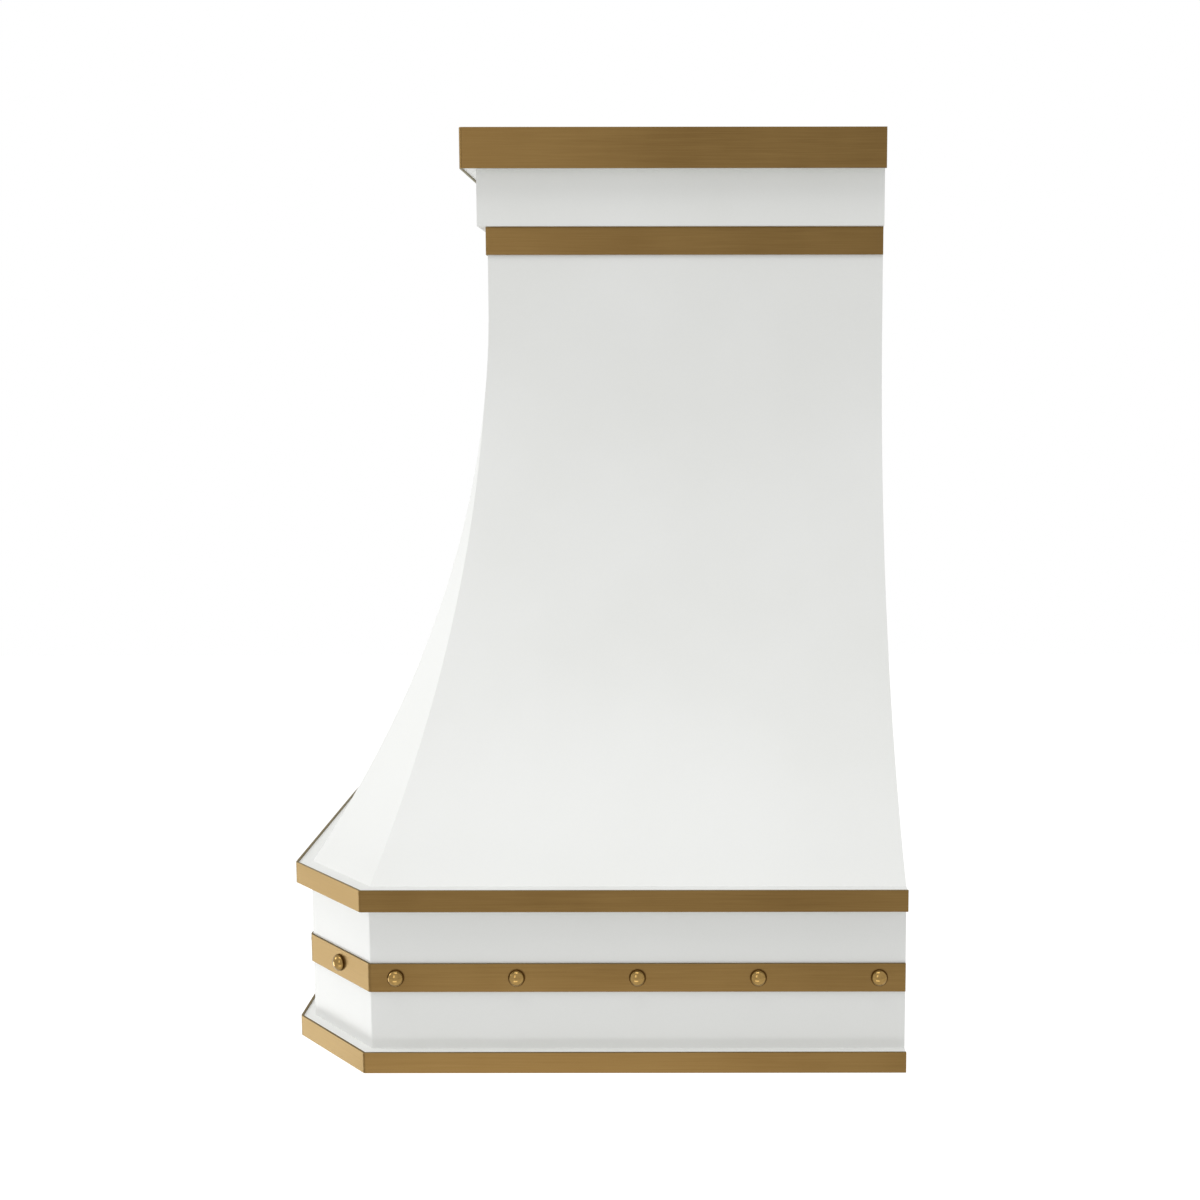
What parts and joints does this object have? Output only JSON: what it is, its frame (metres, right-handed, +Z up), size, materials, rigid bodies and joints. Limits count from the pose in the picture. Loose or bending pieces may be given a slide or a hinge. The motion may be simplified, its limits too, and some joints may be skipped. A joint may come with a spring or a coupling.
{
  "type": "range hood",
  "caption": "Wall-hung range hood with a flared white canopy, riveted brass straps, tilting baffle filters, push buttons, and a blower with a damper in its duct collar.",
  "frame": {"origin": "centre of the back, on the wall plane, at the level of the lowest edge", "axes": "+X to the right for someone facing the hood, +Y into the wall, +Z up"},
  "size_m": [0.9144, 0.5957, 0.9144],
  "materials": {
    "white_paint": "satin white powder coat",
    "brushed_brass": "brushed along the band",
    "polished_brass": "polished",
    "stainless": "brushed stainless",
    "galvanised": "zinc coated sheet",
    "aluminium": "mill",
    "bright_steel": "ground",
    "motor_enamel": "black enamel",
    "seal_rubber": "moulded",
    "black_plastic": "moulded",
    "lens_glass": "frosted",
    "button_steel": "brushed"
  },
  "bodies": {
    "hood": {"canopy": "white_paint", "upper_shelf": "white_paint", "skirt": "white_paint", "bottom_rim": "white_paint", "frieze": "white_paint", "crown": "white_paint", "upper_trim": "brushed_brass", "rivet_strap": "brushed_brass", "bottom_trim": "brushed_brass", "neck_strap": "brushed_brass", "crown_band": "brushed_brass", "rivets": "polished_brass", "liner_pan": "stainless", "filter_clips": "stainless", "light_bezels": "stainless", "control_panel": "stainless", "wall_rail_upper": "galvanised", "wall_rail_lower": "galvanised", "plenum": "galvanised", "blower_box": "galvanised", "scroll_wrap": "galvanised", "scroll_side_left": "galvanised", "scroll_side_right": "galvanised", "motor_bracket": "galvanised", "duct_collar": "galvanised", "duct_pipe": "galvanised", "duct_clamp": "galvanised", "wiring_box": "galvanised", "wiring_lid": "galvanised", "light_cans": "aluminium", "damper_pin": "bright_steel", "motor": "motor_enamel", "damper_seal": "seal_rubber", "switch_block": "black_plastic", "cable_bushing": "black_plastic", "light_lenses": "lens_glass"},
    "impeller": {"impeller_wheel": "galvanised", "impeller_hub": "aluminium", "motor_shaft": "bright_steel"},
    "damper_front": {"damper_flap_front": "aluminium"},
    "damper_rear": {"damper_flap_rear": "aluminium"},
    "filter_1": {"filter_1_frame": "stainless", "filter_1_baffles": "stainless"},
    "handle_1": {"filter_1_handle": "stainless"},
    "filter_2": {"filter_2_frame": "stainless", "filter_2_baffles": "stainless"},
    "handle_2": {"filter_2_handle": "stainless"},
    "filter_3": {"filter_3_frame": "stainless", "filter_3_baffles": "stainless"},
    "handle_3": {"filter_3_handle": "stainless"},
    "power_push": {"power_button": "button_steel"},
    "speed_low_push": {"speed_low_button": "button_steel"},
    "speed_mid_push": {"speed_mid_button": "button_steel"},
    "speed_high_push": {"speed_high_button": "button_steel"},
    "lamp_push": {"lamp_button": "button_steel"}
  },
  "joints": [
    {"name": "impeller_spin", "type": "hinge", "parent": "hood", "child": "impeller", "pos_m": [0, -0.30357, 0.2652], "axis": [1, 0, 0], "continuous": true},
    {"name": "damper_front_swing", "type": "hinge", "parent": "hood", "child": "damper_front", "pos_m": [0, -0.21, 0.4012], "axis": [-1, 0, 0], "range_deg": [0, 75]},
    {"name": "damper_rear_swing", "type": "hinge", "parent": "hood", "child": "damper_rear", "pos_m": [0, -0.21, 0.4012], "axis": [1, 0, 0], "range_deg": [0, 75]},
    {"name": "filter_1_tilt", "type": "hinge", "parent": "hood", "child": "filter_1", "pos_m": [-0.24063, -0.0835, 0.0615], "axis": [1, 0, 0], "range_deg": [0, 60]},
    {"name": "handle_1_swing", "type": "hinge", "parent": "filter_1", "child": "handle_1", "pos_m": [-0.24063, -0.4307, 0.056], "axis": [1, 0, 0], "range_deg": [-85, 85]},
    {"name": "filter_2_tilt", "type": "hinge", "parent": "hood", "child": "filter_2", "pos_m": [0, -0.0835, 0.0615], "axis": [1, 0, 0], "range_deg": [0, 60]},
    {"name": "handle_2_swing", "type": "hinge", "parent": "filter_2", "child": "handle_2", "pos_m": [0, -0.4307, 0.056], "axis": [1, 0, 0], "range_deg": [-85, 85]},
    {"name": "filter_3_tilt", "type": "hinge", "parent": "hood", "child": "filter_3", "pos_m": [0.24063, -0.0835, 0.0615], "axis": [1, 0, 0], "range_deg": [0, 60]},
    {"name": "handle_3_swing", "type": "hinge", "parent": "filter_3", "child": "handle_3", "pos_m": [0.24063, -0.4307, 0.056], "axis": [1, 0, 0], "range_deg": [-85, 85]},
    {"name": "power_press", "type": "slide", "parent": "hood", "child": "power_push", "axis": [0, 0, 1], "range_m": [0, 0.002], "stiffness_N_per_m": 300, "springref_m": -0.001},
    {"name": "speed_low_press", "type": "slide", "parent": "hood", "child": "speed_low_push", "axis": [0, 0, 1], "range_m": [0, 0.002], "stiffness_N_per_m": 300, "springref_m": -0.001},
    {"name": "speed_mid_press", "type": "slide", "parent": "hood", "child": "speed_mid_push", "axis": [0, 0, 1], "range_m": [0, 0.002], "stiffness_N_per_m": 300, "springref_m": -0.001},
    {"name": "speed_high_press", "type": "slide", "parent": "hood", "child": "speed_high_push", "axis": [0, 0, 1], "range_m": [0, 0.002], "stiffness_N_per_m": 300, "springref_m": -0.001},
    {"name": "lamp_press", "type": "slide", "parent": "hood", "child": "lamp_push", "axis": [0, 0, 1], "range_m": [0, 0.002], "stiffness_N_per_m": 300, "springref_m": -0.001}
  ]
}
